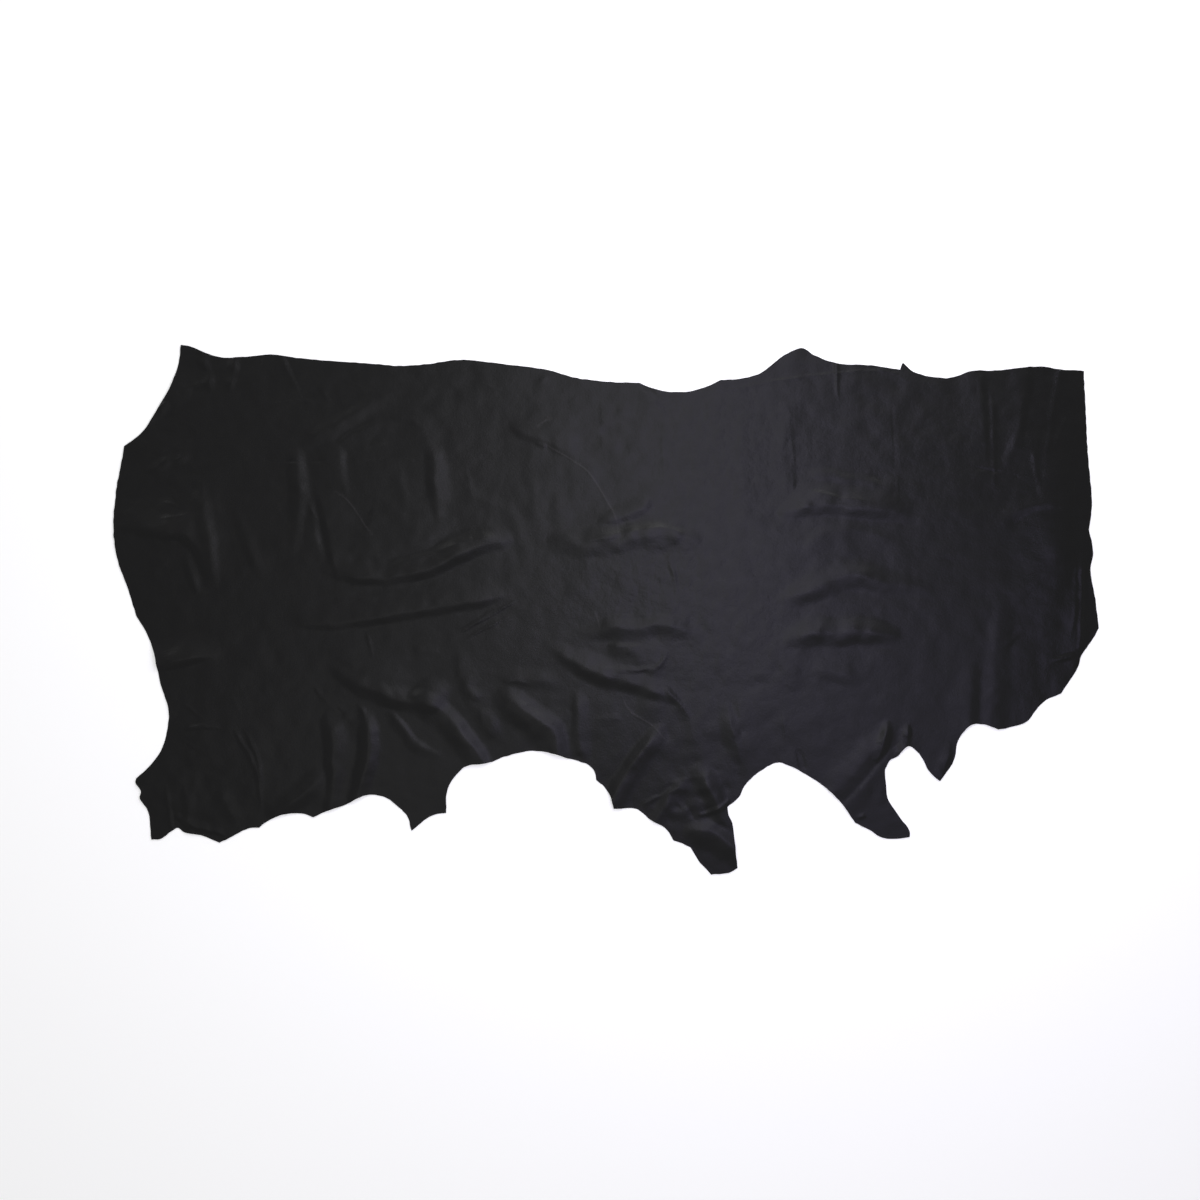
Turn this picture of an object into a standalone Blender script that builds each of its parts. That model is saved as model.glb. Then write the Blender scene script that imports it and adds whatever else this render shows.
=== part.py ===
"""A leather side: half a cow's hide, tanned black, lying grain side up on a flat surface.

One closed sheet. Its cut edge is a loop of smooth runs between corners, and its folds are
ridges that stand on flat leather. The tables are in millimetres and the mesh in metres:
+X runs from the rump to the neck, +Y from the belly to the back line, +Z is up, and the
origin is the middle of the hide's box, on the surface that it lies on.
"""

import math
from collections import namedtuple

import bpy
import numpy as np
from mathutils.geometry import delaunay_2d_cdt

MM = 0.001
THICKNESS = 1.4  # soft chrome-tanned leather, about 3.5 oz

EDGE_STEP = 23.0  # the longest step between two points of the cut edge
CREST_STEP = 30.0  # the same along the crest of a fold
FLANK_LINES = (0.45, 1.0)  # rows of points beside a crest, as shares of the fold's spread
LATTICE_STEP = 52.0  # the points of the flat leather
EDGE_GAP = 13.0  # the least room between an inner point and the edge,
FOLD_GAP = 8.5  # between two points of the folds,
LATTICE_GAP = 34.0  # and round a point of the flat leather

THIN_END = 0.35  # how narrow a fold is where it dies out, as a share of its spread
UNION_POWER = 3  # where folds meet, the taller one leads

LEATHER_COLOUR = (0.012, 0.012, 0.014, 1.0)
LEATHER_ROUGHNESS = 0.45

# The cut edge, clockwise from the tail. A run goes smoothly through its own points (x, y)
# and ends in a corner, which is the first point of the next run.
EDGE_RUNS = {
    "back line": (
        (-950, 592), (-925, 587), (-894, 573), (-858, 564), (-807, 565), (-753, 570),
        (-684, 562), (-595, 554), (-523, 550), (-472, 545), (-405, 548), (-324, 558),
        (-226, 548), (-128, 535), (-67, 518), (9, 509),
    ),
    "hollow of the back": ((74, 507), (96, 497), (138, 487), (188, 488), (223, 498)),
    "hump": (
        (257, 513), (295, 515), (346, 529), (398, 569), (438, 584), (467, 568),
        (514, 551), (590, 546),
    ),
    "spur": ((657, 536), (663, 551)),
    "top of the neck": (
        (670, 545), (688, 531), (724, 521), (769, 518), (818, 533), (863, 534),
        (921, 540), (970, 543), (1019, 536),
    ),
    "neck cut": ((1067, 534), (1070, 469), (1077, 330), (1085, 239)),
    "cheek": ((1078, 178), (1088, 127), (1082, 89), (1093, 22)),
    "jaw": ((1101, -41), (1082, -74), (1062, -101), (1054, -128)),
    "throat": ((1016, -188), (983, -202), (961, -224), (939, -251), (907, -262)),
    "arch of the breast": ((876, -268), (847, -257), (816, -258), (787, -291), (777, -336)),
    "armpit": ((746, -384), (724, -364), (702, -325), (676, -305), (650, -329), (634, -336)),
    "front of the fore shank": ((623, -356), (625, -387), (630, -423), (653, -459), (678, -496)),
    "foot of the fore shank": ((678, -508), (648, -512), (617, -509), (585, -490)),
    "arch of the belly": (
        (556, -476), (525, -431), (487, -395), (433, -360), (400, -345), (387, -341),
    ),
    "front of the middle shank": ((360, -350), (333, -369), (309, -394), (299, -416)),
    "inside of the middle shank": ((271, -441), (273, -456), (283, -481), (288, -526)),
    "foot of the middle shank": ((294, -577), (273, -588)),
    "back of the middle shank": ((235, -592), (210, -565)),
    "notch of the middle shank": ((188, -531), (170, -522)),
    "slope of the middle shank": ((151, -516), (132, -488), (99, -470), (69, -446)),
    "nose of the flank": ((17, -445), (8, -414), (-5, -395)),
    "arch of the flank": (
        (-22, -381), (-25, -363), (-40, -347), (-85, -332), (-119, -321), (-172, -316),
        (-219, -326), (-266, -343), (-313, -350), (-344, -381), (-356, -410),
    ),
    "point of the flank": ((-357, -454), (-389, -460)),
    "stifle": (
        (-435, -494), (-445, -460), (-465, -440), (-499, -417), (-541, -416),
        (-583, -436), (-624, -450),
    ),
    "rear of the belly": ((-654, -463), (-677, -456), (-722, -458), (-758, -473)),
    "slope of the hock": ((-775, -487), (-796, -488), (-836, -507)),
    "foot of the hind shank": (
        (-864, -521), (-901, -505), (-943, -497), (-957, -488), (-977, -499), (-992, -511),
    ),
    "back of the hind shank": (
        (-1016, -514), (-1019, -479), (-1023, -450), (-1041, -422), (-1039, -405), (-1051, -387),
    ),
    "arch of the rump": (
        (-1050, -377), (-1019, -348), (-991, -308), (-979, -258), (-978, -220),
        (-995, -167), (-1009, -97), (-1028, -49),
    ),
    "rump": ((-1050, -14), (-1068, 46), (-1090, 107), (-1100, 172), (-1095, 263), (-1084, 322)),
    "tail": ((-1076, 365), (-1037, 395), (-1006, 441), (-970, 505), (-954, 556)),
}

# A fold's height, how far it spreads to the left and right of its crest, how round its top
# is (0 sharp, 1 round), and the crest itself as points (x, y, share of the height). Left and
# right are those of somebody who walks along the crest. A crest that leaves the hide ends
# outside its edge.
Fold = namedtuple("Fold", "name height left right roundness crest")
FOLDS = (
    Fold("rump upright", 5.5, 31, 20, 0.7,
         ((-910, 339, 0), (-905, 272, 0.5), (-899, 201, 0.9), (-887, 138, 1), (-876, 84, 0.8),
          (-861, 15, 0))),
    Fold("rump cross", 4.0, 20, 20, 0.5,
         ((-1104, 183, 0.5), (-1042, 180, 0.8), (-986, 180, 1), (-937, 172, 0.8), (-903, 138, 0))),
    Fold("rump low", 4.5, 20, 29, 0.6,
         ((-1019, -135, 0.8), (-986, -121, 1), (-930, -108, 0.8), (-867, -94, 0))),
    Fold("hip ridge", 5.0, 36, 20, 0.6,
         ((-706, 397, 0), (-693, 330, 0.9), (-688, 256, 1), (-688, 189, 0.7), (-691, 84, 0))),
    Fold("hip step", 4.0, 58, 14, 0.6,
         ((-644, 286, 0), (-628, 218, 0.8), (-617, 145, 1), (-608, 84, 0.7), (-597, 40, 0))),
    Fold("loin right", 5.5, 34, 25, 0.6,
         ((-409, 388, 0), (-396, 335, 0.9), (-389, 268, 1), (-380, 201, 0.9), (-371, 129, 0))),
    Fold("loin arc", 4.0, 25, 25, 0.6,
         ((-697, 346, 0), (-673, 377, 1), (-639, 408, 1), (-588, 435, 0.9), (-537, 469, 0.7),
          (-505, 500, 0))),
    Fold("loin shelf", 3.2, 98, 25, 0.8,
         ((-608, 174, 0), (-554, 131, 0.9), (-461, 138, 1), (-389, 167, 0.8), (-340, 205, 0))),
    Fold("loin fold", 6.0, 20, 27, 0.5,
         ((-644, 98, 0), (-606, 80, 0.8), (-539, 73, 1), (-449, 80, 1), (-376, 104, 1),
          (-315, 129, 0.8), (-241, 145, 0.6), (-181, 142, 0))),
    Fold("loin second", 5.5, 58, 34, 0.7,
         ((-666, -32, 0), (-606, -23, 0.8), (-516, -7, 1), (-416, 4, 1), (-315, 17, 0.9),
          (-237, 31, 0.5), (-170, 44, 0))),
    Fold("flank long", 9.0, 31, 22, 0.4,
         ((-635, -101, 0), (-588, -130, 0.5), (-539, -155, 0.8), (-478, -184, 1), (-414, -199, 1),
          (-355, -229, 1), (-313, -271, 1), (-288, -313, 0.9), (-273, -376, 0.8))),
    Fold("flank second", 4.0, 18, 27, 0.4,
         ((-514, -211, 0), (-472, -246, 0.9), (-434, -282, 1), (-393, -313, 0.8), (-344, -351, 0))),
    Fold("stifle rear", 7.5, 29, 22, 0.6,
         ((-635, -206, 0), (-615, -280, 0.8), (-606, -347, 1), (-613, -425, 1), (-617, -485, 1))),
    Fold("stifle front", 7.5, 29, 20, 0.6,
         ((-534, -213, 0), (-534, -280, 0.8), (-534, -331, 1), (-545, -403, 1), (-552, -463, 1))),
    Fold("stifle lump", 4.0, 31, 34, 0.7,
         ((-733, -480, 0.7), (-695, -423, 1), (-635, -369, 0.7), (-608, -340, 0))),
    Fold("belly strong", 11.0, 31, 51, 0.35,
         ((-255, -157, 0), (-226, -186, 0.6), (-197, -211, 0.9), (-163, -237, 1), (-134, -267, 1),
          (-123, -296, 1), (-119, -347, 1))),
    Fold("belly front", 10.0, 34, 22, 0.35,
         ((-188, -54, 0), (-143, -79, 0.6), (-107, -101, 0.9), (-74, -130, 1), (-31, -155, 1),
          (31, -168, 0.9), (94, -177, 0.7), (152, -179, 0))),
    Fold("waist upper", 7.0, 20, 45, 0.5,
         ((-134, 174, 0), (-92, 165, 0.8), (-14, 160, 1), (65, 176, 1), (132, 180, 1),
          (179, 163, 0.9), (223, 136, 0))),
    Fold("waist lower", 6.5, 34, 36, 0.5,
         ((-49, -50, 0), (-5, -39, 0.8), (65, -32, 1), (138, -32, 0.9), (206, -43, 0))),
    Fold("saddle", 4.5, 45, 25, 0.5,
         ((-233, 446, 0), (-188, 424, 0.9), (-136, 402, 1), (-92, 377, 1), (-45, 344, 0))),
    Fold("shoulder first", 5.0, 22, 45, 0.5,
         ((378, 245, 0), (445, 252, 0.8), (534, 243, 1), (623, 239, 1), (697, 221, 0))),
    Fold("shoulder second", 5.5, 45, 31, 0.6,
         ((371, 17, 0), (433, 33, 0.7), (489, 49, 1), (541, 71, 1), (612, 73, 1), (684, 60, 0))),
    Fold("shoulder third", 6.0, 58, 38, 0.6,
         ((380, -68, 0), (445, -54, 0.9), (523, -52, 1), (601, -50, 0.9), (668, -54, 0))),
    Fold("neck first", 7.5, 20, 34, 0.5,
         ((963, 592, 1), (959, 525, 1), (952, 473, 1), (934, 413, 1), (916, 357, 0.7),
          (896, 290, 0))),
    Fold("neck second", 5.0, 18, 18, 0.4,
         ((1015, 592, 1), (1010, 525, 1), (1003, 458, 1), (994, 397, 0.8), (979, 312, 0))),
    Fold("neck arc", 4.5, 25, 25, 0.5,
         ((867, 174, 0), (894, 212, 0.7), (927, 232, 1), (981, 241, 1), (1032, 245, 0.9),
          (1070, 248, 0.5))),
    Fold("neck roll", 9.0, 34, 103, 0.8,
         ((1041, 357, 0), (1044, 256, 0.9), (1044, 156, 1), (1055, 55, 0.8), (1059, -34, 0.7),
          (1046, -94, 0.4), (1024, -161, 0))),
    Fold("throat rear", 5.0, 18, 31, 0.5,
         ((802, -50, 0), (811, -135, 0.4), (809, -202, 0.8), (798, -300, 1))),
    Fold("throat front", 5.0, 31, 15, 0.5,
         ((865, -27, 0), (858, -123, 0.5), (854, -202, 0.9), (850, -300, 1))),
    Fold("fore shank crest", 8.0, 34, 17, 0.4,
         ((498, -460, 0.8), (525, -416, 1), (579, -363, 1), (617, -316, 0.9), (646, -255, 0))),
    Fold("fore shank flap", 4.0, 13, 38, 0.5,
         ((530, -470, 0.8), (552, -423, 1), (594, -374, 1), (636, -325, 1))),
    Fold("middle shank crest", 7.0, 20, 29, 0.5,
         ((152, -264, 0), (127, -300, 0.8), (100, -340, 1), (71, -392, 1), (35, -465, 1))),
    Fold("middle shank second", 4.5, 18, 20, 0.5,
         ((181, -385, 0), (154, -419, 1), (132, -452, 1), (106, -500, 1))),
    Fold("middle shank dent", 6.0, 27, 22, 0.5,
         ((208, -345, 0), (230, -385, 1), (257, -430, 0.9), (285, -480, 0.5))),
    Fold("middle shank shelf", 6.0, 20, 34, 0.4,
         ((170, -497, 0), (212, -494, 1), (250, -503, 1), (305, -545, 0.8))),
)

# Low swells between the folds: an oval dome of this height, turned from +X by some degrees.
Swell = namedtuple("Swell", "name height x y half_length half_width turn")
SWELLS = (
    Swell("loin pillow", 2.5, -501, 234, 181, 151, 0),
    Swell("tail corner", 5.0, -970, 487, 66, 48, 60),
    Swell("flank lump", 3.0, -393, -177, 45, 36, 0),
    Swell("belly lump", 3.0, 76, -101, 106, 66, 0),
)


def clear_scene():
    """Removes whatever the scene holds."""
    for item in list(bpy.data.objects):
        bpy.data.objects.remove(item, do_unlink=True)


def smooth_run(points, step):
    """A centripetal Catmull-Rom curve through the points, with a point at least every step.

    Only x and y set its pace; any further column, such as a share, is carried along.
    """
    points = np.asarray(points, float)
    padded = np.vstack([2 * points[0] - points[1], points, 2 * points[-1] - points[-2]])
    chords = np.hypot(*np.diff(padded[:, :2], axis=0).T)
    knots = np.concatenate([[0.0], np.cumsum(np.sqrt(chords))])
    curve = []
    for i in range(len(points) - 1):
        p0, p1, p2, p3 = padded[i:i + 4]
        t0, t1, t2, t3 = knots[i:i + 4]
        pieces = max(1, math.ceil(chords[i + 1] / step))
        t = np.linspace(t1, t2, pieces, endpoint=False)[:, None]
        a1 = (p0 * (t1 - t) + p1 * (t - t0)) / (t1 - t0)
        a2 = (p1 * (t2 - t) + p2 * (t - t1)) / (t2 - t1)
        a3 = (p2 * (t3 - t) + p3 * (t - t2)) / (t3 - t2)
        b1 = (a1 * (t2 - t) + a2 * (t - t0)) / (t2 - t0)
        b2 = (a2 * (t3 - t) + a3 * (t - t1)) / (t3 - t1)
        curve.append((b1 * (t2 - t) + b2 * (t - t1)) / (t2 - t1))
    curve.append(points[-1:])
    return np.vstack(curve)


def cut_edge():
    """The whole edge as one clockwise loop of points."""
    runs = list(EDGE_RUNS.values())
    loop = []
    for run, following in zip(runs, runs[1:] + runs[:1]):
        loop.append(smooth_run(run + following[:1], EDGE_STEP)[:-1])
    return np.vstack(loop)


def fold_spread(fold, share, on_left):
    """How far a fold reaches from its crest, less where it dies out."""
    full = np.where(on_left, fold.left, fold.right)
    return full * (THIN_END + (1 - THIN_END) * np.sqrt(np.clip(share, 0, 1)))


def fold_height(fold, x, y):
    """What one fold adds at each point: its crest's height, falling to 0 at its spread."""
    crest = smooth_run(fold.crest, CREST_STEP)
    nearest = np.full(x.shape, np.inf)
    height = np.zeros(x.shape)
    for start, end in zip(crest[:-1], crest[1:]):
        run = end - start
        along = ((x - start[0]) * run[0] + (y - start[1]) * run[1]) / (run[0] ** 2 + run[1] ** 2)
        along = np.clip(along, 0, 1)
        off_x = x - start[0] - along * run[0]
        off_y = y - start[1] - along * run[1]
        distance = np.hypot(off_x, off_y)
        share = np.clip(start[2] + along * run[2], 0, 1)
        on_left = run[0] * off_y > run[1] * off_x
        out = np.minimum(distance / fold_spread(fold, share, on_left), 1)
        rise = share * (1 - out) ** 2 * (1 + 2 * fold.roundness * out)
        closer = distance < nearest
        nearest = np.where(closer, distance, nearest)
        height = np.where(closer, rise, height)
    return fold.height * height


def swell_height(swell, x, y):
    """An oval dome, level at its top and at its rim."""
    turn = math.radians(swell.turn)
    along = ((x - swell.x) * math.cos(turn) + (y - swell.y) * math.sin(turn)) / swell.half_length
    across = ((y - swell.y) * math.cos(turn) - (x - swell.x) * math.sin(turn)) / swell.half_width
    return swell.height * np.clip(1 - along ** 2 - across ** 2, 0, None) ** 2


def hide_height(x, y):
    """The height of the hide's underside: the folds' union, on the swells."""
    folds = sum(fold_height(fold, x, y) ** UNION_POWER for fold in FOLDS)
    return folds ** (1 / UNION_POWER) + sum(swell_height(swell, x, y) for swell in SWELLS)


def fold_points():
    """Points along every crest, then rows of them on both flanks."""
    crests = []
    flanks = []
    for fold in FOLDS:
        crest = smooth_run(fold.crest, CREST_STEP)
        heading = np.gradient(crest[:, :2], axis=0)
        heading /= np.hypot(*heading.T)[:, None]
        to_left = np.column_stack([-heading[:, 1], heading[:, 0]])
        crests.append(crest[:, :2])
        for line in FLANK_LINES:
            for side, on_left in ((1, True), (-1, False)):
                reach = line * fold_spread(fold, crest[:, 2], on_left)
                flanks.append(crest[:, :2] + side * reach[:, None] * to_left)
    return np.vstack(crests + flanks)


def lattice_points(loop):
    """A lattice of even triangles over the hide's box."""
    low = loop.min(axis=0)
    high = loop.max(axis=0)
    row_step = LATTICE_STEP * math.sqrt(3) / 2
    rows = []
    for number, y in enumerate(np.arange(low[1], high[1], row_step)):
        start = low[0] + (number % 2) * LATTICE_STEP / 2
        x = np.arange(start, high[0], LATTICE_STEP)
        rows.append(np.column_stack([x, np.full(x.shape, y)]))
    return np.vstack(rows)


def keep_apart(kept, candidates, gap):
    """The kept points and each candidate that lies at least the gap from all before it."""
    kept = list(kept)
    for point in candidates:
        offsets = np.asarray(kept) - point
        if np.hypot(offsets[:, 0], offsets[:, 1]).min() >= gap:
            kept.append(point)
    return np.asarray(kept)


def is_within(points, loop):
    """True for each point inside the loop, by how often a line to its right crosses it."""
    inside = np.zeros(len(points), bool)
    x, y = points.T
    for start, end in zip(loop, np.roll(loop, -1, axis=0)):
        if start[1] == end[1]:
            continue
        level = (start[1] > y) != (end[1] > y)
        crossing = start[0] + (y - start[1]) * (end[0] - start[0]) / (end[1] - start[1])
        inside ^= level & (x < crossing)
    return inside


def clear_of_edge(points, loop):
    """The points inside the loop that keep the edge gap to it."""
    clear = is_within(points, loop)
    for corner in loop:
        clear &= np.hypot(*(points - corner).T) >= EDGE_GAP
    return points[clear]


def sheet_points(loop):
    """The edge's points, then those of the folds, then those of the flat leather."""
    points = keep_apart(loop, clear_of_edge(fold_points(), loop), FOLD_GAP)
    return keep_apart(points, clear_of_edge(lattice_points(loop), loop), LATTICE_GAP)


def sheet_triangles(points, edge_count):
    """Triangles over the points, within the edge, each one facing up."""
    outline = list(range(edge_count))
    found = delaunay_2d_cdt([tuple(point) for point in points], [], [outline], 1, 1e-6)
    corners = np.array([point[:] for point in found[0]])
    triangles = np.array(found[2])
    a, b, c = (corners[triangles[:, i]] for i in range(3))
    turn = (b[:, 0] - a[:, 0]) * (c[:, 1] - a[:, 1]) - (b[:, 1] - a[:, 1]) * (c[:, 0] - a[:, 0])
    triangles[turn < 0] = triangles[turn < 0][:, ::-1]
    return corners, triangles


def leather_material():
    """Black, satin leather."""
    material = bpy.data.materials.new("black_leather")
    material.use_nodes = True
    shader = material.node_tree.nodes["Principled BSDF"]
    shader.inputs["Base Color"].default_value = LEATHER_COLOUR
    shader.inputs["Roughness"].default_value = LEATHER_ROUGHNESS
    shader.inputs["Metallic"].default_value = 0.0
    return material


def build_hide():
    """The sheet's underside as a mesh, thickened upwards into a closed solid."""
    loop = cut_edge()
    corners, triangles = sheet_triangles(sheet_points(loop), len(loop))
    middle = (loop.min(axis=0) + loop.max(axis=0)) / 2
    height = hide_height(corners[:, 0], corners[:, 1])
    vertices = np.column_stack([corners - middle, height]) * MM
    mesh = bpy.data.meshes.new("hide")
    mesh.from_pydata(vertices.tolist(), [], triangles.tolist())
    mesh.validate()
    mesh.materials.append(leather_material())
    hide = bpy.data.objects.new("hide", mesh)
    bpy.context.scene.collection.objects.link(hide)
    solidify = hide.modifiers.new("Thickness", "SOLIDIFY")
    solidify.thickness = THICKNESS * MM
    solidify.offset = 1.0
    solidify.use_even_offset = True
    mesh.shade_smooth()
    return hide


def main():
    clear_scene()
    build_hide()


main()
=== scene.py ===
import math

import bpy
import numpy as np
from mathutils.geometry import delaunay_2d_cdt
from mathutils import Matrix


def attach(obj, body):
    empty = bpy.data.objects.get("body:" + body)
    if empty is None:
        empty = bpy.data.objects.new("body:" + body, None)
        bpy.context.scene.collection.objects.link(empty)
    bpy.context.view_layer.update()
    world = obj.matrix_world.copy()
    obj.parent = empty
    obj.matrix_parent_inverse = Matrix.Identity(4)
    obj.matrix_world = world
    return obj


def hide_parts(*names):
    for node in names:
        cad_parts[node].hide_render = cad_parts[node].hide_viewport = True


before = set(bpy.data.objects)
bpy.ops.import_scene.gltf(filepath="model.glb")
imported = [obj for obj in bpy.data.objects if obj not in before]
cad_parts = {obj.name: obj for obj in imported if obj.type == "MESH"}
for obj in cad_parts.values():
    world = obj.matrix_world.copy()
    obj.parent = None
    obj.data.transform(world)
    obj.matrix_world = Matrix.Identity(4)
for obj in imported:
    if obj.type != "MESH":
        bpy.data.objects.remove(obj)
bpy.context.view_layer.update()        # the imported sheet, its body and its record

# A side of black leather, grain side up. Tables are in millimetres in the hide's own frame:
# x from the rump to the neck, y from the belly to the back line, z up from the floor.
mm = 0.001
noiseCells = 128  # side of each square of random values, after which soft noise repeats

seeds = {
    "crumple": 11, "sway": (21, 22), "unevenFolds": 23, "stray": (24, 25), "unevenWrinkles": 26,
    "knife": (31, 32), "firstPatch": 40,
}

hide = {
    "thickness": 1.4,
    "edgeStep": 4.0,  # between points of the cut edge
    "knifeShake": 0.7, "knifeCell": 11.0,  # how far the cut wanders, and in what cells
    "foldStep": 4.2,  # the lattice where the leather bends; wrinkles have half of it
    "bendLimit": 0.0065,  # slope change per millimetre from which the fold lattice is kept
    "wrinkleLimit": 0.0115,  # and the wrinkles' own
    "underStep": 7.0, "underLimit": 0.008,  # the lattice of the flesh side
    "edgeGap": 0.62,  # least room between lattice and edge, as a share of the step
    "creaseAngle": 50,  # the cut edge is sharp, the folds aren't
    "crestStep": 14.0,  # between points of a smoothed crest
    "thinEnd": 0.35,  # how narrow a fold is where it dies out
    "unionPower": 3,  # where folds meet, the taller one leads
    "sways": ((2.8, 55.0), (0.8, 24.0)),  # how far crests wander from their line, and in what cells
    "unevenFolds": ((0.2, 60.0), (0.12, 26.0)),  # how much folds swell and sink along their length
    "foldCrumple": 0.3, "crumpleCell": 17.0,  # small unevenness on the folds
    "foldCalm": 0.65,  # the share of the mottle that they lose
    "fullFold": 5.0,  # a fold this tall has all of both
    "waveLift": 0.25, "wavePower": 1.5,  # a share of the tallest wave, and what softens their feet
    "strayReach": 1.3, "strayCell": 18.0,  # how far wrinkles wander from their line
    "unevenWrinkles": 0.4, "wrinkleCell": 21.0,
    "leastThickness": 0.5,  # under the deepest groove
    "wornSheenHeight": 9.0,  # a fold this tall is fully worn at its crest and has the full painted highlight there
}

waves = (  # loose leather between the folds: height, cell, seed
    (1.1, 130.0, 3),
    (0.75, 52.0, 5),
    (0.22, 28.0, 6),
)

cockles = (  # what never lies quite flat, on the grain side alone: height, cell, seed
    (0.55, 34.0, 12),
    (0.34, 18.0, 13),
)

# The cut edge, clockwise from the tail: smooth runs between corners.
edgeRuns = {
    "back line": (
        (-950, 592), (-925, 587), (-894, 573), (-858, 564), (-807, 565), (-753, 570),
        (-684, 562), (-595, 554), (-523, 550), (-472, 545), (-405, 548), (-324, 558),
        (-226, 548), (-128, 535), (-67, 518), (9, 509),
    ),
    "hollow of the back": ((74, 507), (96, 497), (138, 487), (188, 488), (223, 498)),
    "hump": (
        (257, 513), (295, 515), (346, 529), (398, 569), (438, 584), (467, 568),
        (514, 551), (590, 546),
    ),
    "spur": ((657, 536), (663, 551)),
    "top of the neck": (
        (670, 545), (688, 531), (724, 521), (769, 518), (818, 533), (863, 534),
        (921, 540), (970, 543), (1019, 536),
    ),
    "neck cut": ((1067, 534), (1070, 469), (1077, 330), (1085, 239)),
    "cheek": ((1078, 178), (1088, 127), (1082, 89), (1093, 22)),
    "jaw": ((1101, -41), (1082, -74), (1062, -101), (1054, -128)),
    "throat": ((1016, -188), (983, -202), (961, -224), (939, -251), (907, -262)),
    "arch of the breast": ((876, -268), (847, -257), (816, -258), (787, -291), (777, -336)),
    "armpit": ((746, -384), (724, -364), (702, -325), (676, -305), (650, -329), (634, -336)),
    "front of the fore shank": ((623, -356), (625, -387), (630, -423), (653, -459), (678, -496)),
    "foot of the fore shank": ((678, -508), (648, -512), (617, -509), (585, -490)),
    "arch of the belly": (
        (556, -476), (525, -431), (487, -395), (433, -360), (400, -345), (387, -341),
    ),
    "front of the middle shank": ((360, -350), (333, -369), (309, -394), (299, -416)),
    "inside of the middle shank": ((271, -441), (273, -456), (283, -481), (288, -526)),
    "foot of the middle shank": ((294, -577), (273, -588)),
    "back of the middle shank": ((235, -592), (210, -565)),
    "notch of the middle shank": ((188, -531), (170, -522)),
    "slope of the middle shank": ((151, -516), (132, -488), (99, -470), (69, -446)),
    "nose of the flank": ((17, -445), (8, -414), (-5, -395)),
    "arch of the flank": (
        (-22, -381), (-25, -363), (-40, -347), (-85, -332), (-119, -321), (-172, -316),
        (-219, -326), (-266, -343), (-313, -350), (-344, -381), (-356, -410),
    ),
    "point of the flank": ((-357, -454), (-389, -460)),
    "stifle": (
        (-435, -494), (-445, -460), (-465, -440), (-499, -417), (-541, -416),
        (-583, -436), (-624, -450),
    ),
    "rear of the belly": ((-654, -463), (-677, -456), (-722, -458), (-758, -473)),
    "slope of the hock": ((-775, -487), (-796, -488), (-836, -507)),
    "foot of the hind shank": (
        (-864, -521), (-901, -505), (-943, -497), (-957, -488), (-977, -499), (-992, -511),
    ),
    "back of the hind shank": (
        (-1016, -514), (-1019, -479), (-1023, -450), (-1041, -422), (-1039, -405), (-1051, -387),
    ),
    "arch of the rump": (
        (-1050, -377), (-1019, -348), (-991, -308), (-979, -258), (-978, -220),
        (-995, -167), (-1009, -97), (-1028, -49),
    ),
    "rump": ((-1050, -14), (-1068, 46), (-1090, 107), (-1100, 172), (-1095, 263), (-1084, 322)),
    "tail": ((-1076, 365), (-1037, 395), (-1006, 441), (-970, 505), (-954, 556)),
}

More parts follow.
